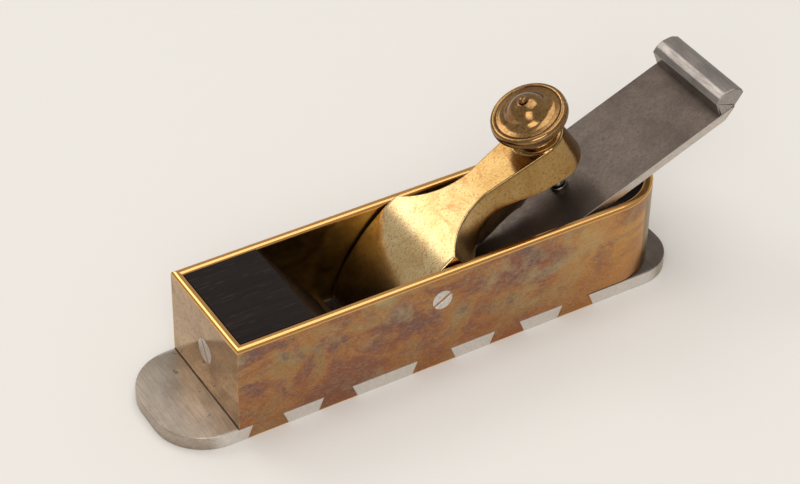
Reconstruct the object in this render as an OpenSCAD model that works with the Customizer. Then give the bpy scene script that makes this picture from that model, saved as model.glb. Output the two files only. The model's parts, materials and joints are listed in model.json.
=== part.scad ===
// Small infill mitre plane: a dovetailed steel sole, a brass box body, ebony
// infills, a thick bevel-up iron and a pivoting brass lever cap with a thumbscrew.
// +X runs from the toe to the heel, +Z is up, and z = 0 is the face of the sole.

/* [Sole] */
// Length of the sole
sole_len = 220; // [216:1:240]
// Thickness of the sole
sole_t = 5.7; // [5:0.1:6.5]
// Radius of the sole's two corners at the toe
toe_corner_r = 20.5; // [16:0.5:24]
// Radius of the sole's two corners at the heel
heel_corner_r = 17.5; // [10:0.5:22]
// Gap between the front of the mouth and the cutting edge
mouth_gap = 0.6; // [0.5:0.1:1.2]

/* [Body] */
// Width across the outside of the body
body_w = 51.5; // [50:0.5:54]
// Height of the body above the bench, sole included
body_h = 42.8; // [42:0.1:46]
// Thickness of the side strip
wall_t = 3.8; // [3.4:0.1:4]
// Thickness of the front plate
plate_t = 3.4; // [3:0.1:4]
// Distance from the sole's centre to the front of the body
front_reach = 86; // [84:1:88]
// Depth of the infills below the rim of the body
infill_drop = 0.5; // [0.3:0.1:1]

/* [Iron] */
// Bed angle of the iron
bed_angle = 22.5; // [22.5:0.5:23]
// Width of the iron
iron_w = 41.3; // [39:0.1:41.3]
// Thickness of the iron
iron_t = 3.8; // [3.6:0.1:4]
// Grinding angle of the cutting bevel
bevel_angle = 25; // [23:1:30]

/* [Lever cap] */
// Radius of the round boss at its top, where the thumbscrew's collar sits
boss_r = 10; // [9.6:0.1:10.2]
// Width of the neck at its narrowest
neck_w = 14; // [12:0.5:16]
// Diameter of the pivot screws' plain ends
pivot_d = 5; // [4:0.5:6]

/* [Thumbscrew] */
// Diameter of the screw's shank
stem_d = 6; // [5:0.5:6]
// Diameter of the knob over its knurled rim
knob_d = 29.8; // [27:0.2:30]

/* [Hidden] */
$fn = 96;
eps = 0.01;
slide_gap = 0.03;          // sliding gap under the iron and under the cap's pad
pin_gap = 0.05;            // running gap round a pin or screw
side_gap = 0.85;           // gap between the lever cap and each side

half_w = body_w / 2;
inner_half = half_w - wall_t;
heel_cx = 79.3;            // centre of the round heel
plate_x = -front_reach;    // outside face of the front plate
infill_top = body_h - infill_drop;

// The iron frame: u runs up the iron from the sole, w stands square off its top face
iron_foot_x = -33.9;
edge_u = iron_t / tan(bed_angle);
edge_x = iron_foot_x + iron_t / sin(bed_angle);
bevel_top_u = edge_u + iron_t / tan(bevel_angle);
mouth_x = edge_x - mouth_gap;
iron_end_u = 173.5;        // where the underside starts to lift at the sneck
end_tip = [184.4, 3.4];    // last point of the raised end
end_slope = (end_tip[1] + iron_t) / (end_tip[0] - iron_end_u);
iron_top_end_u = iron_end_u + iron_t / end_slope;

// Steel pins between the brass tails: middle and width at the inside of the sole
pin_flare = 2.3;
pin_mids = [-59.6, -25.2, 13.1, 43.8];
pin_widths = [17.2, 28.2, 19.9, 19.8];
toe_pin_end = -80.3;
heel_pin_start = 65.7;
tail_starts = concat([toe_pin_end], [for (i = [0:3]) pin_mids[i] + pin_widths[i] / 2]);
tail_ends = concat([for (i = [0:3]) pin_mids[i] - pin_widths[i] / 2], [heel_pin_start]);

// Tongue and groove that join the two lengths of sole beside the mouth
tongue_t = 1.9;
tongue_len = 2.5;
mouth_half = iron_w / 2 + 0.4;

// Front infill
throat_top_x = -53;        // rear edge of its top
throat_foot_x = -26.8;     // rear edge of its foot
throat_chamfer = 1.2;

// Lever cap, in the iron frame
cap_half = inner_half - side_gap;
pivot_u = 42.1;
pivot_w = 16.2;
plateau_slope = 0.0577;
plateau_u = 63;            // where the nose arc meets the plateau
plateau_w = 27.3;
nose_r = 67.5;
lip_u = 14.5;
pad_u = 18.2;
pad_len = 3.2;
arch_cu = 80;            // centre of the arch under the neck
arch_r = 33;
arch_top_w = 18.6;
boss_bottom_w = 15.4;
web_half = 3;              // half thickness of the web under the neck
flare = 0.2;               // how much the neck and boss widen for each mm down
stem_u = 108.6;
boss_top_w = 30.2;
shoulder_r = 30;
neck_u = 79.5;

// Thumbscrew, along its own axis from the iron's top face
foot_h = 1.6;
foot_r = 3.6;
foot_wall = 0.8;
collar_r = 9.6;
collar_w = boss_top_w + 0.15;
knob_under_w = 39.3;
stem_top_w = knob_under_w + 0.6;
rim_w = 40.1;
rim_h = 3;
dome_r = 13.2;
dome_w = 43.6;
button_seat_w = 48.6;
button_r = 1.95;

// Fixing screws
pivot_head_d = 8.4;
pivot_head_t = 1.7;
pivot_tip = 6;
slot_w = 0.8;
slot_d = 0.9;
front_screw_z = 23.7;
front_head_d = 10;
front_head_t = 2.8;
heel_screw_z = 25;
heel_head_d = 9;
heel_head_t = 3;
wood_screw_d = 4.6;
wood_screw_len = 24;

// Runs its children's X along the iron and Z square off it
module iron_frame() {
    translate([iron_foot_x, 0, 0])
        rotate([0, -bed_angle, 0])
            children();
}

// Side profile in the XZ plane, carried to both sides of the middle
module across(half) {
    rotate([90, 0, 0])
        linear_extrude(height = 2 * half, center = true)
            children();
}

// Plan of the body, straight at the front and round at the heel
module body_plan(inset) {
    r = half_w - inset;
    translate([plate_x, -r])
        square([heel_cx - plate_x, 2 * r]);
    translate([heel_cx, 0])
        circle(r = r, $fn = 180);
}

// Brass tails; they widen towards the face of the sole
module tails() {
    for (i = [0:len(tail_starts) - 1]) {
        a = tail_starts[i];
        b = tail_ends[i];
        difference() {
            across(half_w)
                polygon([[a - pin_flare, 0], [b + pin_flare, 0], [b, sole_t], [a, sole_t]]);
            across(inner_half)
                translate([a - 2 * pin_flare, -1])
                    square([b - a + 4 * pin_flare, sole_t + 2]);
        }
    }
}

module sole_plan() {
    toe_x = toe_corner_r - sole_len / 2;
    heel_x = sole_len / 2 - heel_corner_r;
    translate([toe_x, -half_w])
        square([heel_x - toe_x, body_w]);
    for (end = [[toe_x, toe_corner_r], [heel_x, heel_corner_r]]) {
        side = half_w - end[1];
        translate([min(end[0], sign(end[0]) * sole_len / 2), -side])
            square([end[1], 2 * side]);
        for (y = [-side, side])
            translate([end[0], y])
                circle(r = end[1], $fn = 120);
    }
}

module sole_blank() {
    difference() {
        linear_extrude(height = sole_t)
            sole_plan();
        tails();
    }
}

// Tongues of the front length, one on each side of the mouth
module tongues() {
    for (side = [-1, 1])
        translate([mouth_x - eps, side < 0 ? -half_w + wall_t : mouth_half, sole_t / 3])
            cube([tongue_len + eps, half_w - wall_t - mouth_half, tongue_t]);
}

module sole_front() {
    color("#a9a39c") {
        intersection() {
            sole_blank();
            translate([-sole_len, -body_w, -1])
                cube([sole_len + mouth_x, 2 * body_w, sole_t + 2]);
        }
        tongues();
    }
}

module sole_rear() {
    color("#a9a39c")
        difference() {
            intersection() {
                sole_blank();
                translate([mouth_x, -body_w, -1])
                    cube([sole_len, 2 * body_w, sole_t + 2]);
            }
            tongues();
            // The bed and the mouth, as wide as the iron with a little to spare
            across(mouth_half)
                polygon([[mouth_x - 1, -1],
                         [edge_x - 1 / tan(bed_angle), -1],
                         [edge_x + (sole_t + 1) / tan(bed_angle), sole_t + 1],
                         [mouth_x - 1, sole_t + 1]]);
        }
}

// Plan of the strip: both sides and the heel, mitred at the front
module strip_plan() {
    difference() {
        body_plan(0);
        body_plan(wall_t);
        polygon([[plate_x - 1, -half_w - wall_t / plate_t],
                 [plate_x + plate_t, -inner_half],
                 [plate_x + plate_t, inner_half],
                 [plate_x - 1, half_w + wall_t / plate_t]]);
    }
}

module side_strip() {
    color("#a5763c")
        difference() {
            union() {
                translate([0, 0, sole_t])
                    linear_extrude(height = body_h - sole_t)
                        strip_plan();
                tails();
            }
            for (side = [-1, 1])
                pivot_hole(side);
            heel_hole(wood_screw_d / 2 + pin_gap);
        }
}

// Hole and counterbore of a pivot screw through one side
module pivot_hole(side) {
    pivot_place(side) {
        cylinder(d = pivot_d + 2 * pin_gap, h = 3 * wall_t, center = true);
        translate([0, 0, -pivot_head_t])
            cylinder(d = pivot_head_d + 2 * pin_gap, h = pivot_head_t + 1);
    }
}

// Places its children on the outside of a side, with Z pointing out of it
module pivot_place(side) {
    translate([iron_foot_x + pivot_u * cos(bed_angle) - pivot_w * sin(bed_angle),
               side * half_w,
               pivot_u * sin(bed_angle) + pivot_w * cos(bed_angle)])
        rotate([-90 * side, 0, 0])
            children();
}

module heel_hole(r) {
    translate([heel_cx, 0, heel_screw_z])
        rotate([0, 90, 0])
            cylinder(r = r, h = half_w + 5);
}

module front_plate() {
    color("#c09a5a")
        difference() {
            translate([0, 0, sole_t])
                linear_extrude(height = body_h - sole_t)
                    polygon([[plate_x, -half_w], [plate_x + plate_t, -inner_half],
                             [plate_x + plate_t, inner_half], [plate_x, half_w]]);
            front_screw_form(pin_gap);
        }
}

module front_infill() {
    color("#2b2322")
        difference() {
            across(inner_half)
                polygon([[plate_x + plate_t, sole_t],
                         [throat_foot_x, sole_t],
                         [throat_top_x + throat_chamfer, infill_top - throat_chamfer],
                         [throat_top_x, infill_top],
                         [plate_x + plate_t, infill_top]]);
            front_screw_form(pin_gap);
        }
}

module rear_infill() {
    bed_x = edge_x + sole_t / tan(bed_angle);
    color("#2b2322")
        difference() {
            intersection() {
                translate([0, 0, sole_t])
                    linear_extrude(height = infill_top - sole_t)
                        body_plan(wall_t);
                across(inner_half)
                    polygon([[bed_x, sole_t],
                             [heel_cx + half_w, sole_t],
                             [heel_cx + half_w, infill_top],
                             [edge_x + infill_top / tan(bed_angle), infill_top]]);
            }
            heel_screw_form(pin_gap);
        }
}

module iron() {
    color("#6b6058")
        iron_frame()
            across(iron_w / 2)
                polygon([[edge_u + slide_gap, slide_gap - iron_t],
                         [iron_end_u, slide_gap - iron_t],
                         [iron_top_end_u, 0],
                         [bevel_top_u, 0]]);
}

// Raised end of the iron: an upright front step, a crowned top and a lifted tail
module sneck() {
    step_u = 171.9;
    step_h = 6.7;
    crown_u = 177;
    crown_r = 6.6;
    color("#9b948c")
        iron_frame()
            across(iron_w / 2)
                intersection() {
                    polygon([[step_u, 0],
                             [iron_top_end_u, 0],
                             end_tip,
                             [end_tip[0], 12],
                             [step_u, 12]]);
                    union() {
                        translate([crown_u, 2.2])
                            circle(r = crown_r);
                        translate([step_u, 0])
                            square([crown_u - step_u, step_h]);
                        translate([crown_u, 0])
                            square([end_tip[0] - crown_u, 4.4]);
                    }
                }
}

// Half widths in plan as they stand at height w above the iron
function neck_half(w) = neck_w / 2 + (boss_top_w - 1.8 - w) * flare;
function boss_radius(w) = boss_r + (boss_top_w - w) * flare;

// Angle between the middle line and the plane that joins the neck to the boss
neck_turn = asin((boss_r - neck_w / 2 + 0.36) / (stem_u - neck_u));

// Full-width nose and concave shoulders that flare towards the iron
module cap_shoulders() {
    difference() {
        translate([lip_u, -cap_half, 0])
            cube([neck_u - lip_u + eps, 2 * cap_half, 40]);
        for (side = [-1, 1])
            translate([neck_u, side * (neck_w / 2 + shoulder_r), 0])
                cylinder(r1 = shoulder_r + neck_w / 2 - neck_half(0),
                         r2 = shoulder_r + neck_w / 2 - neck_half(40), h = 40, $fn = 180);
    }
}

// Neck between the shoulders and the boss, its two sides planes that flare
module cap_neck() {
    difference() {
        translate([neck_u, -16, 0])
            cube([stem_u - neck_u, 32, 40]);
        for (side = [-1, 1])
            translate([stem_u, 0, 0])
                rotate([0, 0, side * neck_turn])
                    translate([-50, 0, 0])
                        rotate([90, 0, 90])
                            linear_extrude(height = 80)
                                polygon([[side * boss_radius(0), 0], [side * boss_radius(40), 40],
                                         [side * 40, 40], [side * 40, 0]]);
    }
}

// Boss that carries the thumbscrew, faced square to the screw
module cap_boss() {
    translate([stem_u, 0, boss_bottom_w])
        cylinder(r1 = boss_radius(boss_bottom_w), r2 = boss_r, h = boss_top_w - boss_bottom_w, $fn = 120);
}

// Web under the neck and between the shoulders
module cap_web() {
    across(web_half)
        polygon([[54, 6.6], [62, 4.6], [71, 2.7], [74.6, 3.5], [80, 5.2], [85, 6.1], [91, 6.1],
                 [95, 8], [99, 15.6], [99, 17], [94, 18.5], [54, 18.5]]);
}

// Side profile of the lever cap above its underside
module cap_side() {
    plateau_a = atan(plateau_slope);
    end_u = stem_u + 16;
    difference() {
        intersection() {
            union() {
                translate([plateau_u + nose_r * sin(plateau_a), plateau_w - nose_r * cos(plateau_a)])
                    circle(r = nose_r, $fn = 240);
                translate([plateau_u, 0])
                    square([end_u - plateau_u, 40]);
            }
            polygon([[lip_u, 1.7],
                     [pad_u, slide_gap],
                     [pad_u + pad_len, slide_gap],
                     [pad_u + pad_len + 5, 4],
                     [56, 6.5],
                     [end_u, 6.5],
                     [end_u, plateau_w + (end_u - plateau_u) * plateau_slope],
                     [plateau_u, plateau_w],
                     [plateau_u - 8, 32],
                     [lip_u, 32]]);
        }
        // The arch that lets the shavings and a fingertip under the neck
        translate([arch_cu, arch_top_w - arch_r])
            circle(r = arch_r, $fn = 180);
        translate([arch_cu, 0])
            square([60, boss_bottom_w]);
    }
}

module lever_cap() {
    color("#c79a52")
        difference() {
            iron_frame()
                difference() {
                    union() {
                        intersection() {
                            union() {
                                cap_shoulders();
                                cap_neck();
                            }
                            across(half_w)
                                cap_side();
                        }
                        cap_boss();
                        cap_web();
                    }
                    translate([stem_u, 0, 0])
                        cylinder(d = stem_d + 2 * pin_gap, h = 60);
                }
            for (side = [-1, 1])
                pivot_place(side)
                    translate([0, 0, -wall_t - pivot_tip - 0.3])
                        cylinder(d = pivot_d + 2 * pin_gap, h = pivot_tip + 1);
        }
}

module pivot_screw(side) {
    color("#bdb8b0")
        pivot_place(side)
            difference() {
                union() {
                    translate([0, 0, -pivot_head_t])
                        cylinder(d = pivot_head_d, h = pivot_head_t);
                    translate([0, 0, -wall_t - pivot_tip])
                        cylinder(d = pivot_d, h = wall_t + pivot_tip - pivot_head_t);
                }
                rotate([0, 0, -30 * side])
                    cube([2 * pivot_head_d, slot_w, 2 * slot_d], center = true);
            }
}

module pivot_screw_left() {
    pivot_screw(-1);
}

module pivot_screw_right() {
    pivot_screw(1);
}

// Countersunk head and plain shank of the front screw, grown by a gap for its hole
module front_screw_form(gap) {
    translate([plate_x, 0, front_screw_z])
        rotate([0, 90, 0]) {
            translate([0, 0, -gap])
                cylinder(r1 = front_head_d / 2 + gap, r2 = wood_screw_d / 2 + gap,
                         h = front_head_t + gap);
            cylinder(r = wood_screw_d / 2 + gap, h = wood_screw_len + gap);
        }
}

module front_screw() {
    color("#bdb8b0")
        difference() {
            front_screw_form(0);
            translate([plate_x, 0, front_screw_z])
                rotate([-29, 0, 0])
                    cube([2 * slot_d, slot_w, 2 * front_head_d], center = true);
        }
}

// Shank of the heel screw, grown by a gap for its hole
module heel_screw_form(gap) {
    translate([heel_cx + half_w - wood_screw_len, 0, heel_screw_z])
        rotate([0, 90, 0])
            translate([0, 0, -gap])
                cylinder(r = wood_screw_d / 2 + gap, h = wood_screw_len + gap);
}

module heel_screw() {
    seat_x = heel_cx + half_w;
    color("#bdb8b0")
        difference() {
            union() {
                heel_screw_form(0);
                translate([seat_x, 0, heel_screw_z])
                    rotate([0, 90, 0])
                        cylinder(d = heel_head_d, h = heel_head_t);
            }
            translate([seat_x + heel_head_t, 0, heel_screw_z])
                rotate([40, 0, 0])
                    cube([2 * slot_d, slot_w, 2 * heel_head_d], center = true);
        }
}

module on_screw_axis() {
    iron_frame()
        translate([stem_u, 0, 0])
            children();
}

module thumbscrew_stem() {
    color("#55504a")
        on_screw_axis() {
            translate([0, 0, foot_wall])
                cylinder(d = stem_d - 2, h = 4);
            translate([0, 0, foot_h + 0.6])
                cylinder(d = stem_d, h = stem_top_w - foot_h - 0.6);
        }
}

// Knob: a collar, a waisted neck, a knurled rim and a domed top
module thumbscrew_knob() {
    color("#b58a48")
        on_screw_axis()
            rotate_extrude($fn = 180)
                difference() {
                    polygon(concat(
                        [[0, collar_w],
                         [collar_r, collar_w],
                         [collar_r, collar_w + 0.8],
                         [collar_r - 1.5, collar_w + 1.8],
                         [collar_r - 2, collar_w + 4.4],
                         [collar_r - 0.9, knob_under_w - 1.6],
                         [collar_r + 1.6, knob_under_w],
                         [knob_d / 2 - 0.8, knob_under_w],
                         [knob_d / 2, rim_w],
                         [knob_d / 2, rim_w + rim_h],
                         [knob_d / 2 - 0.8, rim_w + rim_h + 0.5],
                         [dome_r, dome_w]],
                        [for (i = [1:11]) dome_point(i / 12)],
                        [[button_r - 0.4, button_seat_w], [0, button_seat_w]]));
                    square([stem_d / 2, stem_top_w]);
                }
}

// Ogee of the dome from its rim (t = 0) to the button's seat (t = 1)
function dome_point(t) =
    [dome_r + (button_r - 0.4 - dome_r) * t,
     dome_w + (button_seat_w - dome_w) * (0.5 - 0.5 * cos(180 * t))];

module finial_button() {
    color("#c79a52")
        on_screw_axis()
            translate([0, 0, button_seat_w])
                rotate_extrude($fn = 64)
                    intersection() {
                        translate([0, 0.35])
                            circle(r = button_r);
                        square([button_r, 2 * button_r]);
                    }
}

// Swivel foot that stays still on the iron while the screw turns in it
module screw_foot() {
    color("#55504a")
        on_screw_axis()
            difference() {
                translate([0, 0, slide_gap])
                    cylinder(r = foot_r, h = foot_h);
                translate([0, 0, foot_wall - pin_gap])
                    cylinder(d = stem_d - 2 + 2 * pin_gap, h = foot_h);
            }
}

sole_front();
sole_rear();
side_strip();
front_plate();
front_infill();
rear_infill();
iron();
sneck();
lever_cap();
pivot_screw_left();
pivot_screw_right();
front_screw();
heel_screw();
thumbscrew_stem();
thumbscrew_knob();
finial_button();
screw_foot();
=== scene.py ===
import json
import math

import bpy
import numpy as np
from mathutils import Matrix, Vector


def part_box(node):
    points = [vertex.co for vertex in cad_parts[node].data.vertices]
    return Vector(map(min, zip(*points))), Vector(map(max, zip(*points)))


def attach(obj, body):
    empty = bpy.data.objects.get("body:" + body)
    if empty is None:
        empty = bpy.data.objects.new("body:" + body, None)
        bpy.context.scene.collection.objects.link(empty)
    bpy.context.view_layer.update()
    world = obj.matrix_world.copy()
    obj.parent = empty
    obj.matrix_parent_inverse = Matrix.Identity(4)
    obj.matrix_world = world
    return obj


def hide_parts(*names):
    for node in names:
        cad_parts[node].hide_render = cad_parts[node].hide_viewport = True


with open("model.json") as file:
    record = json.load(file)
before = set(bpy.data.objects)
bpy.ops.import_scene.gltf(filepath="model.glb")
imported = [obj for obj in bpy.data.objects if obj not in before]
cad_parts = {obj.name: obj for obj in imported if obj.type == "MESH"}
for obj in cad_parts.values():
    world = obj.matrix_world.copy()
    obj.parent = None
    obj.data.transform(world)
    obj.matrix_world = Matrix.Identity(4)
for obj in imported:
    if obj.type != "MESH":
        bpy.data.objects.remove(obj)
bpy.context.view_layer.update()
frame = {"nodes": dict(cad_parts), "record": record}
joints = {j["name"]: j for j in frame["record"]["behaviour"]["joints"]}
mm = 0.001
print("frame loaded:", len(frame["nodes"]), "nodes")


# shapes as whole arrays

def unit(v):
    return v / np.linalg.norm(v, axis=-1, keepdims=True)


# a shell is (points, groups): groups are integer arrays of faces with equal corner counts
def tubeShell(rings, ends="flat"):
    # rings (n, m, 3): row i joined to row i + 1 by quads, the last column back to the first;
    # flat ends are one face, pole ends are a fan round the ring's middle point
    n, m, _ = rings.shape
    i = np.arange(n - 1)[:, None]
    j = np.arange(m)[None, :]
    k = (j + 1) % m
    quads = np.stack(np.broadcast_arrays(i * m + j, i * m + k, (i + 1) * m + k, (i + 1) * m + j), -1)
    points = rings.reshape(-1, 3)
    groups = [quads.reshape(-1, 4)]
    for ring, turn in ((0, -1), (n - 1, 1)):
        loop = (ring * m + np.arange(m))[::turn]
        if ends == "flat":
            groups.append(loop[None, :])
        else:
            middle = len(points)
            points = np.vstack([points, points[loop].mean(0)])
            groups.append(np.stack([loop, np.roll(loop, -1), np.full(m, middle)], -1))
    return points, groups


def outward(shell):
    # signed volume as the sum of v0 . (v1 x v2) over fans; a negative one turns every face round
    points, groups = shell
    centred = points - points.mean(0)
    volume = 0.0
    for g in groups:
        first, a, b = centred[g[:, :1]], centred[g[:, 1:-1]], centred[g[:, 2:]]
        volume += (first * np.cross(a, b)).sum()
    return points, (groups if volume > 0 else [g[:, ::-1] for g in groups])


def newPiece(name, shells, material, body, nodes=(), sharp=None, grimeAndShade=None):
    points, faces, start = [], [], 0
    for shell in map(outward, shells):
        points.append(shell[0])
        for g in shell[1]:
            faces += (g + start).tolist()
        start += len(shell[0])
    mesh = bpy.data.meshes.new(name)
    mesh.from_pydata(np.vstack(points).tolist(), [], faces)
    mesh.polygons.foreach_set("use_smooth", np.ones(len(mesh.polygons), bool))
    if sharp is not None:
        mesh.set_sharp_from_angle(angle=math.radians(sharp))
    mesh.materials.append(material)
    if grimeAndShade is not None:
        # how much grime and painted shade each point holds, read by the material under this attribute's name
        held = mesh.attributes.new("grimeAndShade", "FLOAT", "POINT")
        held.data.foreach_set("value", np.clip(grimeAndShade(np.vstack(points)), 0, 1).astype(np.float32))
    mesh.validate()
    piece = bpy.data.objects.new(name, mesh)
    bpy.context.scene.collection.objects.link(piece)
    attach(piece, body)
    if nodes:
        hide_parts(*nodes)
    return piece


def roundCorners(corners, radii, steps=5, hold=0.0):
    # each corner becomes an arc tangent to both its edges, from its centre on the bisector;
    # hold adds a point just before and after the arc, which keeps the flats flat
    p = np.asarray(corners, float)
    r = np.broadcast_to(np.asarray(radii, float), len(p))[:, None]
    back, ahead = unit(np.roll(p, 1, 0) - p), unit(np.roll(p, -1, 0) - p)
    half = np.arccos(np.clip((back * ahead).sum(1), -1, 1))[:, None] / 2
    centre = p + unit(back + ahead) * r / np.sin(half)
    start = p + back * r / np.tan(half)
    spoke = start - centre
    turn = np.sign(ahead[:, 0] * back[:, 1] - ahead[:, 1] * back[:, 0])[:, None]
    a = (np.pi - 2 * half) * turn * np.linspace(0, 1, steps + 1)
    arc = np.stack([spoke[:, :1] * np.cos(a) - spoke[:, 1:] * np.sin(a),
                    spoke[:, :1] * np.sin(a) + spoke[:, 1:] * np.cos(a)], -1) + centre[:, None]
    if hold:
        end = p + ahead * r / np.tan(half)
        arc = np.concatenate([(start + back * hold)[:, None], arc, (end + ahead * hold)[:, None]], 1)
    return arc.reshape(-1, 2)


def inset(outline, depth):
    # moves each point in along the mitred normal of its two edges (outline runs anticlockwise)
    ahead = np.roll(outline, -1, 0) - outline
    n = unit(np.stack([-ahead[:, 1], ahead[:, 0]], -1))
    before = np.roll(n, 1, 0)
    mitre = (n + before) / (1 + (n * before).sum(1, keepdims=True))
    return outline + mitre * np.broadcast_to(depth, len(outline))[:, None]


def arrisLevels(low, high, r, steps=4, hold=0.4):
    # heights and insets of a slab whose two rims are quarter circles of radius r
    t = np.linspace(0, np.pi / 2, steps + 1)
    rise, back = r * (1 - np.cos(t)), r * (1 - np.sin(t))
    heights = np.concatenate([[low], low + rise, [low + r + hold * r, high - r - hold * r],
                              (high - rise)[::-1], [high]])
    insets = np.concatenate([[r + hold * r], back, [0, 0], back[::-1], [r + hold * r]])
    return heights, insets


def slab(outline, heights, insets, place):
    # the outline carried up through the heights, pulled in by each inset; place maps it to space
    rings = np.stack([place(inset(outline, d), h) for h, d in zip(heights, insets)])
    return tubeShell(rings)


def lathe(profile, steps, place, wave=None):
    # profile rows are (radius, height); each is swept round a full turn at equal steps
    r, h = np.asarray(profile, float).T
    a = np.linspace(0, 2 * np.pi, steps, endpoint=False)
    radius = r[:, None] + (0 if wave is None else wave(a[None, :], h[:, None]))
    return tubeShell(place(radius * np.cos(a), radius * np.sin(a), h[:, None] + 0 * a), ends="pole")


def softLine(points, steps=8):
    # Catmull-Rom curve through the points; a repeated point leaves a corner there
    p = np.asarray(points, float)
    p = np.vstack([2 * p[0] - p[1], p, 2 * p[-1] - p[-2]])
    t = np.linspace(0, 1, steps, endpoint=False)[:, None]
    a, b, c, d = (p[i:len(p) - 3 + i, None] for i in range(4))
    curve = 0.5 * (2 * b + (c - a) * t + (2 * a - 5 * b + 4 * c - d) * t**2 + (3 * b - a - 3 * c + d) * t**3)
    line = np.vstack([curve.reshape(-1, 2), p[-2]])
    keep = np.linalg.norm(np.diff(line, axis=0, prepend=line[:1] - 1), axis=1) > 1e-9
    return line[keep]


# the two frames

uAxis = np.array(joints["iron_feed"]["axis"])
wAxis = np.array(joints["screw_turn"]["axis"])
yAxis = np.array([0.0, 1.0, 0.0])
iron = {"stemU": 108.6 * mm}
stemFoot = np.array(joints["screw_turn"]["pos_m"])
ironFoot = stemFoot - iron["stemU"] * uAxis


def onIron(u, y, w):
    # u up the iron from the sole, y across, w square off the iron's top face
    u, y, w = np.broadcast_arrays(u, y, w)
    return ironFoot + u[..., None] * uAxis + y[..., None] * yAxis + w[..., None] * wAxis


def onScrew(x, y, w):
    return onIron(iron["stemU"] + x, y, w)


def acrossPlane(outline, y):
    return np.stack([outline[:, 0], np.full(len(outline), y), outline[:, 1]], -1)


def acrossIron(outline, y):
    return onIron(outline[:, 0], np.full(len(outline), y), outline[:, 1])


stripHigh = np.array(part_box("side_strip")[1])
plateLow, plateHigh = map(np.array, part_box("front_plate"))
soleLow, soleHigh = map(np.array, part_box("sole_front"))
heelLow, heelHigh = map(np.array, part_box("sole_rear"))
infillLow, infillHigh = map(np.array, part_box("front_infill"))
body = {
    "halfW": stripHigh[1],
    "top": stripHigh[2],
    "soleTop": soleHigh[2],
    "front": plateLow[0],
    "plateT": plateHigh[0] - plateLow[0],
    "wallT": stripHigh[1] - infillHigh[1],
    "heelX": stripHigh[0] - stripHigh[1],
    "rimRise": 1.25 * mm,       # height of the half-round along the top of the walls
    "seam": 0.14 * mm,          # softened edge of each dovetail
}


# materials

class Nodes:
    # a short way to wire one material
    def __init__(self, name):
        self.material = bpy.data.materials.new(name)
        self.material.use_nodes = True
        self.tree = self.material.node_tree
        self.shader = self.tree.nodes["Principled BSDF"]
        self.coords = self.add("ShaderNodeTexCoord").outputs["Object"]

    def add(self, kind, **values):
        node = self.tree.nodes.new(kind)
        for key, value in values.items():
            setattr(node, key, value)
        return node

    def feed(self, socket, value):
        if hasattr(value, "is_output"):
            self.tree.links.new(value, socket)
        else:
            socket.default_value = value

    def noise(self, scale, detail=4.0, rough=0.55, stretch=(1, 1, 1), turn=(0, 0, 0), warp=0.0,
              shift=(0, 0, 0)):
        place = self.add("ShaderNodeMapping")
        self.feed(place.inputs["Vector"], self.coords)
        place.inputs["Scale"].default_value = stretch
        place.inputs["Rotation"].default_value = turn
        place.inputs["Location"].default_value = shift
        node = self.add("ShaderNodeTexNoise")
        self.feed(node.inputs["Vector"], place.outputs["Vector"])
        node.inputs["Scale"].default_value = scale
        node.inputs["Detail"].default_value = detail
        node.inputs["Roughness"].default_value = rough
        node.inputs["Distortion"].default_value = warp
        return node.outputs["Fac"]

    def ramp(self, value, stops):
        node = self.add("ShaderNodeValToRGB")
        self.feed(node.inputs["Fac"], value)
        bar = node.color_ramp.elements
        while len(bar) < len(stops):
            bar.new(0.5)
        for element, (at, colour) in zip(bar, stops):
            element.position = at
            element.color = (*colour, 1) if len(colour) == 3 else colour
        return node.outputs["Color"]

    def remap(self, value, low, high, a, b):
        node = self.add("ShaderNodeMapRange")
        self.feed(node.inputs["Value"], value)
        for socket, v in zip(("From Min", "From Max", "To Min", "To Max"), (low, high, a, b)):
            node.inputs[socket].default_value = v
        return node.outputs["Result"]

    def maths(self, how, a, b):
        node = self.add("ShaderNodeMath", operation=how)
        self.feed(node.inputs[0], a)
        self.feed(node.inputs[1], b)
        return node.outputs[0]

    def mix(self, factor, a, b, how="MIX"):
        node = self.add("ShaderNodeMix", data_type="RGBA", blend_type=how)
        self.feed(node.inputs["Factor"], factor)
        for socket, v in ((node.inputs[6], a), (node.inputs[7], b)):
            self.feed(socket, (*v, 1) if isinstance(v, tuple) and len(v) == 3 else v)
        return node.outputs[2]

    def along(self, axis, low, high, a=0.0, b=1.0, centred=False):
        # a share that grows with one coordinate of the resting plane, or with its distance from 0
        split = self.add("ShaderNodeSeparateXYZ")
        self.feed(split.inputs[0], self.coords)
        value = split.outputs[axis]
        if centred:
            value = self.maths("ABSOLUTE", value, 0.0)
        return self.remap(value, low * mm, high * mm, a, b)

    def attribute(self, name):
        return self.add("ShaderNodeAttribute", attribute_name=name).outputs["Fac"]

    def bump(self, height, depth, strength=1.0):
        node = self.add("ShaderNodeBump")
        node.inputs["Strength"].default_value = strength
        node.inputs["Distance"].default_value = depth
        self.feed(node.inputs["Height"], height)
        if self.shader.inputs["Normal"].is_linked:
            self.feed(node.inputs["Normal"], self.shader.inputs["Normal"].links[0].from_socket)
        self.feed(self.shader.inputs["Normal"], node.outputs["Normal"])

    def finish(self, **sockets):
        for key, value in sockets.items():
            self.feed(self.shader.inputs[key.replace("_", " ")], value)
        return self.material


rimColour = (0.74, 0.40, 0.135)
grimeShadeColour = (0.05, 0.03, 0.02)


def tinted(colour, factors):
    return tuple(c * f for c, f in zip(colour, factors))


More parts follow.
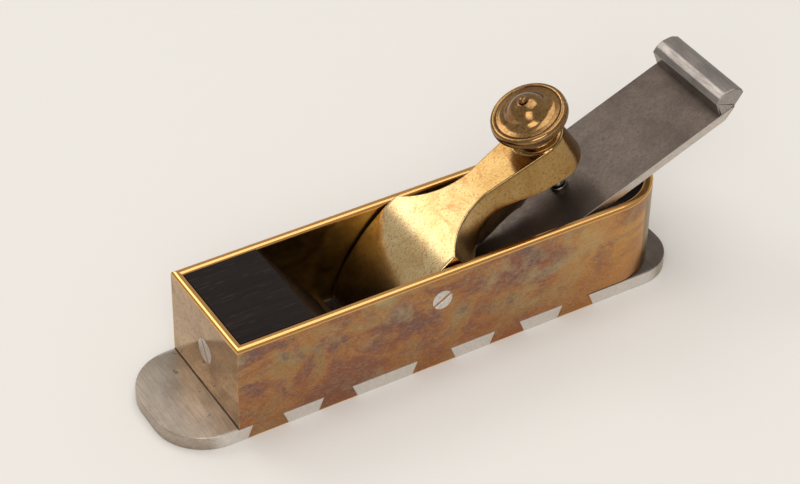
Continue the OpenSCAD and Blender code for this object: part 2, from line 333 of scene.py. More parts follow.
def sideBrass():
    # tarnished strip: drifting purple-brown, orange and olive patches, finely speckled, with a
    # brighter rubbed rim, orange low edges and an orange heel
    m = Nodes("sideBrass")
    patches = m.noise(30, 6, 0.6, (1, 1, 1.5), warp=0.7)
    colour = m.ramp(patches, [(0.34, (0.20, 0.115, 0.10)), (0.43, (0.30, 0.13, 0.075)),
                              (0.50, (0.44, 0.21, 0.075)), (0.56, (0.38, 0.25, 0.11)),
                              (0.66, (0.46, 0.36, 0.17))])
    cloud = m.noise(120, 6, 0.7, (0.8, 1, 1), warp=0.5, shift=(4, 0, 2))
    colour = m.mix(m.remap(cloud, 0.50, 0.64, 0, 0.7), colour, (0.17, 0.12, 0.125))
    olive = m.noise(55, 5, 0.65, (0.8, 1, 1), warp=0.4, shift=(7, 3, 5))
    colour = m.mix(m.remap(olive, 0.54, 0.68, 0, 0.8), colour, (0.44, 0.36, 0.20))
    heel = m.maths("MULTIPLY", m.along("X", 40, 92), m.remap(patches, 0.40, 0.52, 0.35, 1))
    colour = m.mix(heel, colour, (0.66, 0.33, 0.09))
    low = m.maths("MULTIPLY", m.along("Z", 24, 2), m.remap(olive, 0.35, 0.6, 0.9, 0.3))
    colour = m.mix(low, colour, (0.40, 0.15, 0.055))
    colour = m.mix(m.along("Z", 0.55, 0.25), colour, (0.85, 0.45, 0.12))
    grain = m.noise(1300, 4, 0.7, (0.5, 1, 1))
    colour = m.mix(m.remap(grain, 0.46, 0.66, 0, 0.35), colour, (0.52, 0.38, 0.24))
    fine = m.noise(3400, 3, 0.6)
    colour = m.mix(m.remap(fine, 0.50, 0.64, 0, 0.4), colour, (0.10, 0.06, 0.05))
    inside = m.along("Y", 22.6, 22.3, centred=True)
    colour = m.mix(inside, colour, m.ramp(cloud, [(0.35, (0.20, 0.12, 0.035)), (0.65, (0.36, 0.23, 0.07))]))
    colour = m.mix(m.along("Z", 41.3, 41.7), colour, rimColour)
    seam = m.maths("MULTIPLY", m.along("X", 64, 67), m.maths("MULTIPLY", m.along("Z", 6.3, 5.95),
                                                             m.along("Z", 5.2, 5.6)))
    colour = m.mix(seam, colour, grimeShadeColour)
    m.bump(grain, 0.00002, 0.35)
    m.bump(fine, 0.00001, 0.4)
    rough = m.maths("MULTIPLY", m.remap(cloud, 0.3, 0.7, 0.26, 0.40), m.along("Z", 41.3, 41.7, 1.0, 0.5))
    return m.finish(Base_Color=colour, Metallic=1.0, Roughness=rough)


def plainBrass(name, base, dark, rough, scratch=0.3, stain=0.5, neckShade=0.0, rim=False):
    # clean brass that darkens in clouds, with brown stains, fine specks and hairline scratches;
    # the neck share deepens it toward the knob as painted shade, rim adds the plate's bright top, dark foot
    # and ends
    m = Nodes(name)
    cloud = m.noise(60, 5, 0.6, warp=0.5)
    fine = m.noise(1500, 3, 0.65)
    colour = m.mix(m.remap(cloud, 0.38, 0.68, 0, 1), base, dark)
    patch = m.noise(110, 5, 0.7, (1, 0.6, 1), warp=1.2, shift=(3, 1, 2))
    colour = m.mix(m.remap(patch, 0.56, 0.72, 0, stain), colour, tinted(dark, (0.75, 0.5, 0.4)))
    spots = m.remap(m.noise(520, 3, 0.6), 0.66, 0.73, 0, 0.6)
    colour = m.mix(spots, colour, tuple(c * 0.35 for c in dark))
    hair = m.noise(2200, 2, 0.5, (0.03, 1, 1), (0, 0.4, 0.3))
    colour = m.mix(m.remap(hair, 0.62, 0.7, 0, 0.3), colour, tuple(c * 0.6 for c in dark))
    speck = m.noise(1100, 3, 0.65, shift=(5, 2, 8))
    colour = m.mix(m.remap(speck, 0.52, 0.64, 0, 0.65), colour, tinted(dark, (0.7, 0.55, 0.4)))
    # painted shade: the cap darkens toward the knob, where it reflects the knob
    if neckShade:
        share = m.maths("MULTIPLY", m.along("X", 0, 28), neckShade)
        colour = m.mix(share, colour, (0.47, 0.40, 0.29), "MULTIPLY")
    if rim:
        colour = m.mix(m.along("Z", 41.3, 41.7), colour, rimColour)
        colour = m.mix(m.along("Z", 6.5, 6.25), colour, grimeShadeColour)
        colour = m.mix(m.along("Y", 25.2, 25.6, centred=True), colour, (0.62, 0.36, 0.13))
    # the attribute darkens each point: grime and painted shade in the knob's teeth, groove and button seat,
    # and a dark line under the cap's upper arris
    colour = m.mix(m.attribute("grimeAndShade"), colour, grimeShadeColour)
    m.bump(fine, 0.00001, scratch)
    m.bump(hair, 0.00001, scratch)
    return m.finish(Base_Color=colour, Metallic=1.0, Roughness=m.remap(cloud, 0.3, 0.7, rough, rough + 0.08))


def steel(name, base, dark, rough, stretch=(0.1, 1, 1), scratch=0.4, pits=0.5, side=None, seam=False):
    # brushed steel: lines along the short axis of the stretch, clouds and scattered dark pits
    m = Nodes(name)
    grain = m.noise(1100, 5, 0.7, stretch)
    cloud = m.noise(80, 5, 0.6, warp=0.4)
    colour = m.mix(m.remap(cloud, 0.36, 0.68, 0, 1), base, dark)
    colour = m.mix(m.remap(grain, 0.42, 0.66, 0, 0.5), colour, tuple(c * 0.7 for c in dark))
    speck = m.noise(2400, 2, 0.6)
    colour = m.mix(m.remap(speck, 0.60, 0.70, 0, 0.5), colour, tuple(c * 0.45 for c in dark))
    spots = m.remap(m.noise(260, 3, 0.55, shift=(2, 5, 1)), 0.68, 0.73, 0, pits)
    colour = m.mix(spots, colour, (0.05, 0.035, 0.03))
    if side:
        # ground faces on the long sides, brighter than the top: distance from the middle, colour, fade
        ground = m.along("Y", side[0] - side[2], side[0] - 0.04, centred=True)
        colour = m.mix(ground, colour, m.mix(m.remap(grain, 0.4, 0.65, 0, 0.5), side[1],
                                             tuple(c * 0.72 for c in side[1])))
    if seam:
        # grime along the foot of the front plate
        foot = body["front"] / mm
        line = m.maths("MULTIPLY", m.along("X", foot - 0.5, foot - 0.2), m.along("Z", 5.3, 5.9))
        colour = m.mix(line, colour, (0.05, 0.035, 0.03))
    # painted shade in the screw slots, held by each point
    colour = m.mix(m.attribute("grimeAndShade"), colour, (0.035, 0.025, 0.02))
    m.bump(grain, 0.00003, scratch)
    m.bump(m.maths("SUBTRACT", 1.0, spots), 0.00006, 0.5)
    return m.finish(Base_Color=colour, Metallic=1.0, Roughness=m.remap(grain, 0.3, 0.7, rough, rough + 0.12))


def ebony():
    m = Nodes("ebony")
    fibre = m.noise(420, 5, 0.65, (0.05, 1, 1))
    pore = m.noise(1500, 2, 0.5, (0.08, 1, 1), shift=(1, 2, 3))
    colour = m.ramp(fibre, [(0.32, (0.005, 0.003, 0.0028)), (0.7, (0.016, 0.009, 0.007))])
    colour = m.mix(m.remap(pore, 0.6, 0.7, 0, 0.6), colour, (0.045, 0.028, 0.02))
    m.bump(fibre, 0.00003, 0.5)
    m.bump(pore, 0.00002, 0.4)
    m.shader.inputs["Specular IOR Level"].default_value = 0.16
    return m.finish(Base_Color=colour, Roughness=m.remap(fibre, 0.3, 0.7, 0.40, 0.55))


mats = {
    "side": sideBrass(),
    "plate": plainBrass("plateBrass", (0.50, 0.34, 0.185), (0.33, 0.205, 0.105), 0.06, 0.15, 0.7, rim=True),
    "cap": plainBrass("capBrass", (0.84, 0.65, 0.35), (0.66, 0.44, 0.19), 0.15, 0.3, 0.85, 1.0),
    "knob": plainBrass("knobBrass", (0.41, 0.245, 0.095), (0.22, 0.115, 0.045), 0.12, 0.2, 0.7),
    "sole": steel("soleSteel", (0.56, 0.475, 0.395), (0.40, 0.335, 0.275), 0.32, (1, 0.08, 1),
                  side=(25.75, (0.78, 0.74, 0.69), 1.6), seam=True),
    "iron": steel("ironSteel", (0.20, 0.16, 0.135), (0.135, 0.108, 0.092), 0.36, (0.5, 1, 1), 0.3, 0.3,
                  side=(20.65, (0.62, 0.56, 0.50), 0.12)),
    "sneck": steel("sneckSteel", (0.40, 0.36, 0.33), (0.27, 0.24, 0.22), 0.28, (1, 0.1, 1)),
    "screw": steel("screwSteel", (0.74, 0.71, 0.67), (0.58, 0.54, 0.50), 0.26, (1, 1, 1)),
    "dark": steel("darkSteel", (0.26, 0.23, 0.21), (0.13, 0.11, 0.10), 0.22),
    "ebony": ebony(),
}
print("materials made")


# brass strip

def wallSection(thickness, low, steps=14):
    # depth in from the outer face and height: up the outside, over a half ellipse, down the inside
    a = np.linspace(np.pi, 0, steps + 1)
    half = thickness / 2
    top = body["top"] - body["rimRise"]
    rim = np.stack([half + half * np.cos(a), top + body["rimRise"] * np.sin(a)], -1)
    hold = 0.5 * mm
    return np.vstack([[0, low], [0, top - hold], rim, [thickness, top - hold], [thickness, low]])


def stripShell():
    # the section carried down one side, round the heel and back, its front ends cut to the mitre
    section = wallSection(body["wallT"], body["soleTop"])
    depth, z = section.T
    front = body["front"] + depth * body["plateT"] / body["wallT"]
    r = body["halfW"] - depth
    t = np.linspace(0, 1, 25)[:, None]
    sideX = front + (body["heelX"] - front) * t
    a = np.linspace(-np.pi / 2, np.pi / 2, 97)[1:-1, None]
    x = np.vstack([sideX, body["heelX"] + r * np.cos(a), sideX[::-1]])
    y = np.vstack([0 * sideX - r, r * np.sin(a), 0 * sideX + r])
    return tubeShell(np.stack([x, y, 0 * x + z], -1))


dovetails = {
    "mids": np.array([-59.6, -25.2, 13.1, 43.8]) * mm,    # steel pins, at the inside of the sole
    "widths": np.array([17.2, 28.2, 19.9, 19.8]) * mm,
    "toeEnd": -80.3 * mm,
    "heelStart": 65.7 * mm,
    "flare": 2.3 * mm,
}
pinEdges = np.concatenate([[dovetails["toeEnd"]],
                           np.stack([dovetails["mids"] - dovetails["widths"] / 2,
                                     dovetails["mids"] + dovetails["widths"] / 2], -1).ravel(),
                           [dovetails["heelStart"]]])
tailSpans = pinEdges.reshape(-1, 2)


def tailShells():
    # each brass tail is a trapezium that widens downwards, its upright edges softened by the seam
    shells = []
    s = body["seam"]
    for side in (-1, 1):
        outer = side * body["halfW"]
        inner = side * (body["halfW"] - body["wallT"])
        levels = [(outer, s), (outer - side * s, 0), (inner, 0)]
        for a, b in tailSpans:
            rings = []
            for y, d in levels:
                flare = dovetails["flare"]
                corner = np.array([[a + d, body["soleTop"]], [a - flare + d, d], [b + flare - d, d],
                                   [b - d, body["soleTop"]]])
                rings.append(acrossPlane(corner, y))
            shells.append(tubeShell(np.stack(rings)))
    return shells


newPiece("bent_side_strip", [stripShell()] + tailShells(), mats["side"], "plane_body",
         ["side_strip"], sharp=40)


# front plate

def plateShell():
    # the wall section set across the front, each end cut back along the mitre
    section = wallSection(body["plateT"], body["soleTop"])
    depth, z = section.T
    reach = body["halfW"] - depth * body["wallT"] / body["plateT"]
    t = np.linspace(-1, 1, 13)[:, None]
    y = reach * t
    return tubeShell(np.stack([0 * y + body["front"] + depth, y, 0 * y + z], -1))


newPiece("mitred_front_plate", [plateShell()], mats["plate"], "plane_body", ["front_plate"],
         sharp=40)


# steel sole

sole = {
    "toeCorner": 20.5 * mm, "heelCorner": 17.5 * mm, "arris": 0.45 * mm, "face": 0.14 * mm,
    "mouthGap": 0.6 * mm, "mouthHalf": 21.05 * mm,
    "bedClear": 0.12,           # how much flatter than the iron the drawn bed lies, as run over rise
}


def soleOutline(z, atToe):
    # plan of one length of sole at height z; the pockets for the tails widen towards the face
    grow = dovetails["flare"] * (1 - z / body["soleTop"])
    half, inner = body["halfW"], body["halfW"] - body["wallT"]
    mouth = soleHigh[0] - 2.5 * mm if atToe else heelLow[0]
    spans = [s for s in tailSpans if (s[1] < mouth) == atToe]
    end = soleLow[0] if atToe else heelHigh[0]
    side = []
    for a, b in spans:
        side += [(a - grow, half), (a - grow, inner), (b + grow, inner), (b + grow, half)]
    soft = body["seam"] + 0.02 * mm
    r = [soft, 0.05 * mm, 0.05 * mm, soft] * len(spans)
    # the heel length is cut back under the iron by the mouth and the slope of the bed
    bed = heelLow[0] + sole["mouthGap"] + z * (uAxis[0] / uAxis[2] + sole["bedClear"])
    cheek = sole["mouthHalf"]
    if atToe:
        right = [(end, half)] + side + [(mouth, half)]
        radii = [sole["toeCorner"]] + r + [soft]
    else:
        right = [(bed, cheek), (mouth, cheek), (mouth, half)] + side + [(end, half)]
        radii = [0.05 * mm, soft, soft] + r + [sole["heelCorner"]]
    left = [(x, -y) for x, y in right]
    corners = left + right[::-1]
    steps = 12
    return roundCorners(corners, radii + radii[::-1], steps)


def soleShell(atToe):
    # plan carried from the face up to the top, with a broad arris where the sole stands clear
    low, high = 0.0, body["soleTop"]
    t = np.linspace(0, np.pi / 2, 5)
    rings = []
    for part, turn in (("low", t), ("high", t[::-1])):
        for a in turn:
            rise, back = 1 - np.cos(a), 1 - np.sin(a)
            outline = soleOutline(low, atToe)
            clear = (outline[:, 0] < body["front"] + 0.5 * mm) | (outline[:, 0] > body["heelX"] + 8 * mm)
            r = np.where(clear, sole["arris"], body["seam"]) if part == "high" else sole["face"]
            z = low + r * rise if part == "low" else high - r * rise
            z = np.broadcast_to(z, len(outline))
            plan = soleOutline(z.mean(), atToe)
            rings.append(np.column_stack([inset(plan, r * back), z]))
    return tubeShell(np.stack(rings))


newPiece("toe_sole", [soleShell(True)], mats["sole"], "plane_body", ["sole_front"], sharp=35)
newPiece("heel_sole", [soleShell(False)], mats["sole"], "plane_body", ["sole_rear"], sharp=35)
print("box body and sole made")


# ebony

def frontInfillShell():
    # side profile with its throat face and chamfer, carried across between the walls
    top = infillHigh[2]
    corners = np.array([[infillLow[0], body["soleTop"]], [-26.8 * mm, body["soleTop"]],
                        [-51.8 * mm, top - 1.2 * mm], [-53 * mm, top], [infillLow[0], top]])
    outline = roundCorners(corners, [0.1 * mm, 0.1 * mm, 0.15 * mm, 0.15 * mm, 0.2 * mm], 4, 0.2 * mm)
    heights, insets = arrisLevels(infillLow[1], infillHigh[1], 0.2 * mm)
    return slab(outline, heights, insets, acrossPlane)


newPiece("front_ebony", [frontInfillShell()], mats["ebony"], "plane_body", ["front_infill"],
         sharp=30)
# the block under the iron keeps its CAD shape and takes the same wood
frame["nodes"]["rear_infill"].data.materials.clear()
frame["nodes"]["rear_infill"].data.materials.append(mats["ebony"])


# iron and sneck

blade = {"halfW": 20.65 * mm, "t": 3.8 * mm, "end": 173.5 * mm, "topEnd": 179.26 * mm,
         "edge": 9.17 * mm, "bevelTop": 17.32 * mm, "arris": 0.25 * mm}


def ironShell():
    # side profile of the iron carried across it
    t = 0.03 * mm - blade["t"]
    corners = [[blade["edge"], t], [blade["end"], t], [blade["topEnd"], 0], [blade["bevelTop"], 0]]
    outline = roundCorners(np.array(corners), [0.02 * mm, 0.2 * mm, 0.1 * mm, 0.1 * mm], 4, 0.3 * mm)
    heights, insets = arrisLevels(-blade["halfW"], blade["halfW"], blade["arris"])
    thin = np.clip((outline[:, 0] - blade["edge"]) / (6 * mm), 0.02, 1)
    return slab(outline, heights, insets[:, None] * thin, acrossIron)


def sneckShell():
    # upright front step, a crowned top and a tail that lifts to a tip, carried across the iron
    corners = np.array([[171.9, 0], [179.26, 0], [184.4, 3.4], [184.0, 5.4], [181.4, 7.7], [177.2, 8.75],
                        [173.9, 8.0], [171.9, 6.7]]) * mm
    radii = np.array([0.05, 0.05, 0.4, 2.0, 2.2, 3.0, 2.0, 0.5]) * mm
    outline = roundCorners(corners, radii, 5)
    heights, insets = arrisLevels(-blade["halfW"], blade["halfW"], 0.5 * mm)
    return slab(outline, heights, insets, acrossIron)


newPiece("cutting_iron", [ironShell()], mats["iron"], "iron_set", ["iron"], sharp=25)
newPiece("iron_sneck", [sneckShell()], mats["sneck"], "iron_set", ["sneck"], sharp=35)
print("ebony and iron made")


# lever cap

cap = {
    "half": 21.1 * mm, "lip": 14.5 * mm, "neckHalf": 7.0 * mm, "neckU": 79.5 * mm,
    "shoulderR": 30 * mm, "bossR": 10 * mm, "bossTop": 30.2 * mm, "flare": 0.2, "flareFrom": 28.4 * mm,
    "plateauU": 63 * mm, "plateauW": 27.3 * mm, "slope": 0.0577, "noseR": 67.5 * mm,
    "archU": 80 * mm, "archR": 33 * mm, "archTop": 18.6 * mm, "bossLow": 15.4 * mm,
    "webHalf": 3 * mm, "arris": 0.5 * mm,
}


def capTop(u, y):
    # nose arc up to the plateau, its gentle slope, and the round seat of the boss faced level
    a = math.atan(cap["slope"])
    cu = cap["plateauU"] + cap["noseR"] * math.sin(a)
    cw = cap["plateauW"] - cap["noseR"] * math.cos(a)
    nose = cw + np.sqrt(np.maximum(cap["noseR"]**2 - (u - cu)**2, 0))
    top = np.where(u < cap["plateauU"], nose, cap["plateauW"] + (u - cap["plateauU"]) * cap["slope"])
    rho = np.hypot(np.minimum(u - iron["stemU"], 0), y)
    seat = np.clip((cap["bossR"] - 0.1 * mm - rho) / (0.4 * mm), 0, 1)
    return np.where(u > 90 * mm, top + (cap["bossTop"] - top) * np.where(u > iron["stemU"], 1, seat), top)


def capUnder(u):
    # pad on the iron, a rising hollow, the arch under the neck and the flat of the boss
    flat = np.interp(u, np.array([14.5, 18.2, 21.4, 26.4, 56, 200]) * mm,
                     np.array([1.7, 0.03, 0.03, 4, 6.5, 6.5]) * mm)
    off = (u - cap["archU"]) / cap["archR"]
    arch = cap["archTop"] - cap["archR"] * (1 - np.sqrt(np.maximum(1 - off**2, 0)))
    under = np.maximum(flat, np.where(np.abs(off) < 1, arch, 0))
    step = arch - cap["bossLow"]
    blend = cap["bossLow"] + 0.5 * (step + np.sqrt(step**2 + (1.8 * mm)**2)) - 0.25 * mm
    return np.where(u > cap["archU"], np.where(np.abs(off) < 1, blend, cap["bossLow"]), under)


def capWeb(u, y, edgeY):
    # underside lowered towards the middle, where a web hangs under the arch of the neck
    low = np.interp(u, np.array([54, 62, 71, 74.6, 80, 85, 91, 95, 99]) * mm,
                    np.array([6.6, 4.6, 2.7, 3.5, 5.2, 6.1, 6.1, 8, 15.4]) * mm)
    under = capUnder(u)
    span = np.clip(edgeY - cap["webHalf"], 0.5 * mm, 7 * mm)
    share = np.clip((np.abs(y) - cap["webHalf"]) / span, 0, 1)
    inWeb = (u > 54 * mm) & (u < 99 * mm)
    return np.where(inWeb, np.minimum(under, low + (under - low) * share), under)


def capEdge():
    # half plan at the flare's own height: points, outward normals and how much each one flares
    r, reach = cap["bossR"], cap["neckHalf"] + cap["shoulderR"]
    c = 1.2 * mm
    a = np.linspace(np.pi, np.pi / 2, 8)
    corner = np.stack([cap["lip"] + c + c * np.cos(a), cap["half"] - c + c * np.sin(a)], -1)
    cornerN = np.stack([np.cos(a), np.sin(a)], -1)
    start = -math.pi / 2 - math.acos((reach - cap["half"]) / cap["shoulderR"])
    sideEnd = cap["neckU"] + cap["shoulderR"] * math.cos(start)
    sideU = np.linspace(cap["lip"] + c + 0.4 * mm, sideEnd - 0.6 * mm, 70)
    side = np.stack([sideU, np.full(70, cap["half"])], -1)
    b = np.linspace(start, -np.pi / 2, 60)
    spoke = np.stack([np.cos(b), np.sin(b)], -1)
    shoulder = np.array([cap["neckU"], reach]) + cap["shoulderR"] * spoke
    grown = r + cap["flare"] * (cap["bossTop"] - cap["flareFrom"])
    tilt = math.asin((grown - cap["neckHalf"]) / (iron["stemU"] - cap["neckU"]))
    d = np.pi / 2 + tilt - (np.pi / 2 + tilt - 0.02) * np.linspace(0, 1, 56)**0.8
    bossN = np.stack([np.cos(d), np.sin(d)], -1)
    boss = np.array([iron["stemU"], 0]) + grown * bossN
    t = np.linspace(0, 1, 50)[1:-1, None]
    taper = shoulder[-1] + (boss[0] - shoulder[-1]) * t
    points = np.vstack([corner, side, shoulder, taper, boss])
    normals = np.vstack([cornerN, np.tile([0.0, 1.0], (70, 1)), -spoke, np.tile(bossN[0], (48, 1)), bossN])
    flares = np.repeat([0.0, cap["flare"]], [78, len(points) - 78])
    return points, normals, flares


def capShell():
    # one closed section for each point of the half plan: across the top, round the upper arris,
    # down the flaring side, round the lower arris and back across the underside with its web
    points, normals, flares = capEdge()

    def edgeAt(w, depth):
        p = points + normals * (flares * (cap["flareFrom"] - w) - depth)[:, None]
        return np.stack([p[:, 0], np.clip(p[:, 1], 0.01 * mm, cap["half"] - depth)], -1)

    topW, lowW = capTop(points[:, 0], points[:, 1]), capUnder(points[:, 0])
    r = np.minimum(cap["arris"], (topW - lowW) * 0.3)
    low = r * 0.4
    columns = []
    a = np.linspace(0, np.pi / 2, 6)
    for t in a:
        w = topW - r * (1 - np.cos(t))
        p = edgeAt(w, r * (1 - np.sin(t)))
        columns.append((p, capTop(*p.T) - r * (1 - np.cos(t))))
    for k in (0.06, 0.2, 0.4, 0.6, 0.8):
        w = (topW - r) * (1 - k) + (lowW + low) * k
        p = edgeAt(w, 0)
        columns.append((p, (capTop(*p.T) - r) * (1 - k) + (capUnder(p[:, 0]) + low) * k))
    for t in a[::-1]:
        w = lowW + low * (1 - np.cos(t))
        p = edgeAt(w, low * (1 - np.sin(t)))
        columns.append((p, capUnder(p[:, 0]) + low * (1 - np.cos(t))))
    edge = np.stack([onIron(p[:, 0], p[:, 1], w) for p, w in columns], 1)
    mirror = np.stack([onIron(p[:, 0], -p[:, 1], w) for p, w in columns], 1)
    s = np.linspace(-1, 1, 43)[1:-1]
    first, last = columns[0][0], columns[-1][0]
    u = first[:, :1] + 0 * s
    top = onIron(u, first[:, 1:] * s, capTop(u, first[:, 1:] * s))
    u, y = last[:, :1] + 0 * s, last[:, 1:] * s
    under = onIron(u, y, capWeb(u, y, last[:, 1:]))
    rings = np.concatenate([top, edge, under[:, ::-1], mirror[:, ::-1]], 1)
    return tubeShell(rings, ends="flat")


def capArrisLine(p):
    # a dark line that runs just below the upper arris
    local = p - ironFoot
    u, w = local @ uAxis, local @ wAxis
    below = capTop(u, local[:, 1]) - w
    return 0.55 * np.exp(-((below - 0.6 * mm) / (0.3 * mm))**2) * (u > 24 * mm)


newPiece("brass_lever_cap", [capShell()], mats["cap"], "cap", ["lever_cap"], sharp=50,
         grimeAndShade=capArrisLine)
print("lever cap made")


# screws

def slottedHead(radius, rise, arris, slotWidth, slotDepth, skirt, place):
    # columns a run along the slot and rows b across it; each row spans the disc's chord at b,
    # and the rows beside the slot are doubled so that its walls stand upright
    half = slotWidth / 2
    outer = radius * np.sin(np.linspace(np.pi / 2, 0, 15))
    outer = outer[outer > half + 0.15 * mm]
    b = np.concatenate([outer, [half + 0.05 * mm, half, half * 0.999]])
    deep = np.concatenate([0 * outer, [0, 0.05 * mm, slotDepth]])
    b, deep = np.concatenate([-b, b[::-1]]), np.concatenate([deep, deep[::-1]])
    b[0], b[-1] = -radius * 0.9999, radius * 0.9999
    a = np.sin(np.linspace(-np.pi / 2, np.pi / 2, 31))
    x = a * np.sqrt(radius**2 - b[:, None]**2)
    y = b[:, None] + 0 * x
    rho = np.hypot(x, y)
    dome = rise * (1 - (rho / radius)**2)
    past = np.clip((rho - (radius - arris)) / arris, 0, 1)
    z = dome - arris * (1 - np.sqrt(1 - past**2)) - deep[:, None]
    top = np.stack([x, y, z], -1)
    n, m = x.shape
    grid = np.arange(n * m).reshape(n, m)
    quads = np.stack([grid[:-1, :-1], grid[:-1, 1:], grid[1:, 1:], grid[1:, :-1]], -1).reshape(-1, 4)
    loop = np.concatenate([grid[0, :], grid[1:, -1], grid[-1, -2::-1], grid[-2:0:-1, 0]])
    base = top.reshape(-1, 3)[loop] * [1, 1, 0] + [0, 0, -skirt]
    low = n * m + np.arange(len(loop))
    wall = np.stack([loop, low, np.roll(low, -1), np.roll(loop, -1)], -1)
    points = np.vstack([top.reshape(-1, 3), base])
    return place(points), [quads, wall, low[None, :]]


def slotShade(origin, normal, rise, across, half):
    # painted shade wherever a point lies below the dome of the head and inside its slot, and at its foot
    def held(p):
        local = p - np.array(origin)
        deep = -(local @ np.array(normal, float))
        inSlot = np.abs(local @ unit(np.array(across, float))) < half
        return ((deep > 0.3 * mm - rise) & inSlot) | (deep > 1.0 * mm)
    return held


def facing(origin, normal, up):
    # local z along normal, local x along up
    z = unit(np.array(normal, float))
    x = unit(np.array(up, float) - z * np.dot(up, z))
    y = np.cross(z, x)
    return lambda p: np.array(origin) + p @ np.stack([x, y, z])


def middleHeight(node):
    low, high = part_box(node)
    return (low[2] + high[2]) / 2


pivot = np.array(joints["cap_tilt"]["pos_m"])
headProud = 0.06 * mm
slots = {"pivot": 1.1 * mm, "front": 1.0 * mm, "heel": 0.8 * mm}
slotEdge = 0.02 * mm            # how far past its walls a slot's painted shade reaches
for name, side in (("left", -1), ("right", 1)):
    slotTilt = math.radians(30)
    along = (math.cos(slotTilt), 0, math.sin(slotTilt))
    seat = pivot * [1, 0, 1] + [0, side * (body["halfW"] + headProud), 0]
    shell = slottedHead(4.2 * mm, 0, 0.2 * mm, slots["pivot"], 0.9 * mm, 1.7 * mm,
                        facing(seat, (0, side, 0), along))
    pin = lathe([(0.01 * mm, -1.6 * mm), (2.5 * mm, -1.6 * mm), (2.5 * mm, -9.6 * mm),
                 (0.01 * mm, -9.8 * mm)],
                32, lambda x, y, z: facing(seat, (0, side, 0), along)(np.stack([x, y, z], -1)))
    newPiece("pivot_" + name, [shell, pin], mats["screw"], "plane_body", ["pivot_screw_" + name],
             sharp=30,
             grimeAndShade=slotShade(seat, (0, side, 0), 0, (-math.sin(slotTilt), 0, math.cos(slotTilt)),
                           slots["pivot"] / 2 + slotEdge))

screwZ = middleHeight("front_screw")
slotTilt = math.radians(29)
shell = slottedHead(5.0 * mm, 0, 0.2 * mm, slots["front"], 0.9 * mm, 2.4 * mm,
                    facing((body["front"] - headProud, 0, screwZ), (-1, 0, 0),
                           (0, math.sin(slotTilt), math.cos(slotTilt))))
newPiece("front_wood_screw", [shell], mats["screw"], "plane_body", ["front_screw"], sharp=30,
         grimeAndShade=slotShade((body["front"] - headProud, 0, screwZ), (-1, 0, 0), 0,
                       (0, math.cos(slotTilt), -math.sin(slotTilt)),
                       slots["front"] / 2 + slotEdge))

screwZ = middleHeight("heel_screw")
slotTilt = math.radians(40)
shell = slottedHead(4.5 * mm, 1.5 * mm, 0.5 * mm, slots["heel"], 0.9 * mm, 3.0 * mm,
                    facing((stripHigh[0] + 1.4 * mm, 0, screwZ), (1, 0, 0),
                           (0, -math.sin(slotTilt), math.cos(slotTilt))))
newPiece("heel_wood_screw", [shell], mats["screw"], "plane_body", ["heel_screw"], sharp=30)


# thumbscrew

# in millimetres, like the profiles drawn from it
knob = {
    "collarR": 9.6, "collarW": 30.35, "rimR": 14.9, "seatW": 49.6, "teeth": 140, "toothDepth": 0.3,
    "bandW": 40.7,              # middle of the knurled band
    "grooveR": 12.5,
}


def knobProfile():
    # bottom of the collar, up the waisted neck and under the rim, over the bevel, groove and ogee
    r, w = knob["collarR"], knob["collarW"]
    under = softLine([(r - 0.2, w), (r, w + 0.2), (r, w + 0.75), (r - 0.5, w + 1.1), (r - 1.6, w + 1.9),
                      (r - 2.0, w + 4.2), (r - 1.4, w + 6.6), (r + 0.4, w + 8.2), (r + 3.0, 39.2),
                      (14.4, 39.6)], 6)
    bevel = softLine([(14.55, 39.75), (14.55, 41.7), (14.75, 41.75), (14.75, 42.2), (14.5, 42.8),
                      (14.0, 43.2), (13.4, 43.35), (12.85, 43.25), (12.6, 42.9), (12.4, 42.9),
                      (12.3, 43.2)], 4)
    dome = softLine([(12.2, 43.3), (11.4, 43.45), (10.2, 43.7), (9.0, 44.2), (7.9, 45.2), (6.9, 46.5),
                     (5.7, 47.8), (4.4, 48.75), (3.0, 49.3), (2.2, 49.55), (1.6, 49.6)], 6)
    return np.vstack([[(0.01, w)], under, bevel, dome, [(0.01, knob["seatW"])]]) * mm


def knurlShell():
    # a short cylinder whose radius rises and falls once for each tooth, its ends chamfered
    k = knob
    a = np.linspace(0, 2 * np.pi, k["teeth"] * 6, endpoint=False)
    heights = np.array([39.6, 39.8, 39.95, 41.5, 41.65, 41.8])
    fade = np.array([0.0, 0.5, 1, 1, 0.5, 0])[:, None]
    crest = k["rimR"] - 0.25 + 0.25 * fade
    tooth = np.abs(((a * k["teeth"] / (2 * np.pi)) % 1) * 2 - 1)
    radius = crest - fade * k["toothDepth"] * tooth
    rings = onScrew(radius * np.cos(a) * mm, radius * np.sin(a) * mm, (heights[:, None] + 0 * a) * mm)
    return tubeShell(rings)


def stemShell():
    # plain shank below, then a thread: the radius follows a triangle wave along height and angle
    pitch = 1.0 * mm
    h = np.concatenate([[0.85, 0.9, 2.1, 2.2], np.arange(2.6, 38, 0.125)]) * mm
    base = np.concatenate([[1.95, 2.0, 2.0, 2.6], np.full(len(h) - 4, 3.0)]) * mm

    def wave(a, z):
        ramp = np.clip((z - 2.6 * mm) / (0.6 * mm), 0, 1)
        saw = np.abs((((z / pitch) - a / (2 * np.pi)) % 1) * 2 - 1)
        return -0.5 * mm * saw * ramp
    return lathe(np.stack([base, h], -1), 48, onScrew, wave)


button = softLine([(1.5, 49.55), (1.75, 49.9), (1.7, 50.6), (1.1, 51.2), (0.01, 51.4)], 8) * mm
button = np.vstack([[(0.01 * mm, 49.5 * mm)], button])
footLine = np.array([(0.01, 0.04), (3.4, 0.04), (3.6, 0.2), (3.6, 1.4), (3.4, 1.6), (2.1, 1.6), (2.05, 0.75),
                     (0.01, 0.75)]) * mm


